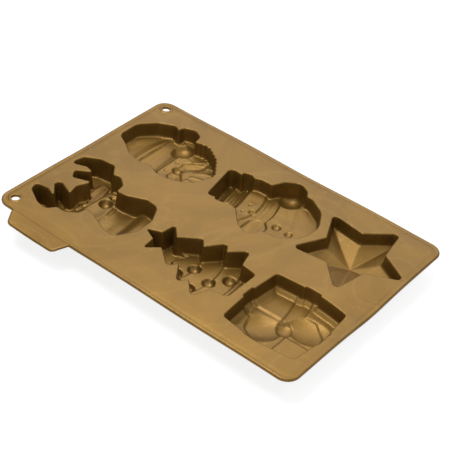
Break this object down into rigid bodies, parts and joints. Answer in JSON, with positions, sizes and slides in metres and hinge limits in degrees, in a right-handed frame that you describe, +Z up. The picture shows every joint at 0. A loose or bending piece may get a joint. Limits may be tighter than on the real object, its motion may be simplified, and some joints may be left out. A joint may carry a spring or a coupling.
{
  "type": "silicone cake mould",
  "caption": "Flexible baking mould: a thin level sheet with a beaded rim, festive figure hollows with relief floors, hang holes and a grip tab.",
  "frame": {"origin": "middle of the overall box, on the surface that the mould stands on", "axes": "+X along the sheet's long side, figures' heads to -X; +Y to the back edge; +Z up out of the hollows"},
  "size_m": [0.2998, 0.2192, 0.0238],
  "materials": {
    "silicone": "satin gold-bronze pearl"
  },
  "bodies": {
    "root": {"deck": "silicone", "rim_bead": "silicone", "grip_tab": "silicone", "hang_eyelet_front": "silicone", "hang_eyelet_back": "silicone", "bearded_face_cup": "silicone", "snowman_cup": "silicone", "star_cup": "silicone", "reindeer_cup": "silicone", "tree_cup": "silicone", "gift_cup": "silicone"}
  },
  "joints": []
}
